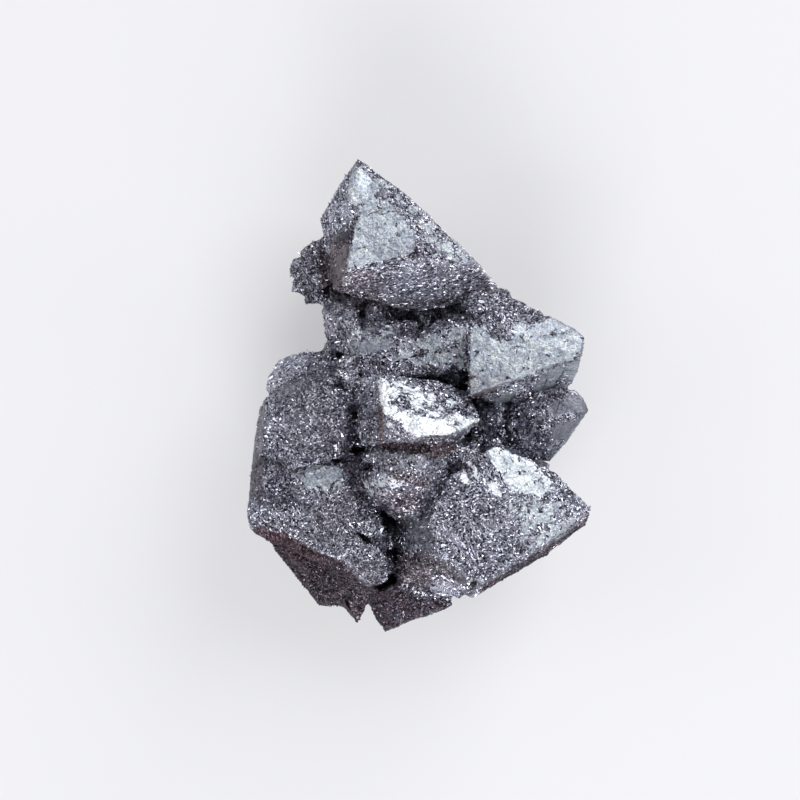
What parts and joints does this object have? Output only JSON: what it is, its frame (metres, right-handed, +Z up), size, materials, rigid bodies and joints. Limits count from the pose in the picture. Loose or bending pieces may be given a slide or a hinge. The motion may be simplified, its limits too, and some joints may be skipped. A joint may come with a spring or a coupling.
{
  "type": "hematite crystal cluster",
  "caption": "Cluster of intergrown octahedral crystals of hematite after magnetite, dark steel grey and sparkling, lying on a flat broken back.",
  "frame": {"origin": "centre of the bounding box in plan, on the flat back that the stone lies on", "axes": "+Z up from the flat back through the crystals, +Y along the stone to the tip of its tall head crystal, +X across it"},
  "size_m": [0.0346, 0.0476, 0.024],
  "materials": {
    "hematite": "metallic steel grey, sparkling with minute crystals, with a few bright smooth faces and faint brown in the clefts"
  },
  "bodies": {
    "root": {"hematite_cluster": "hematite"}
  },
  "joints": []
}
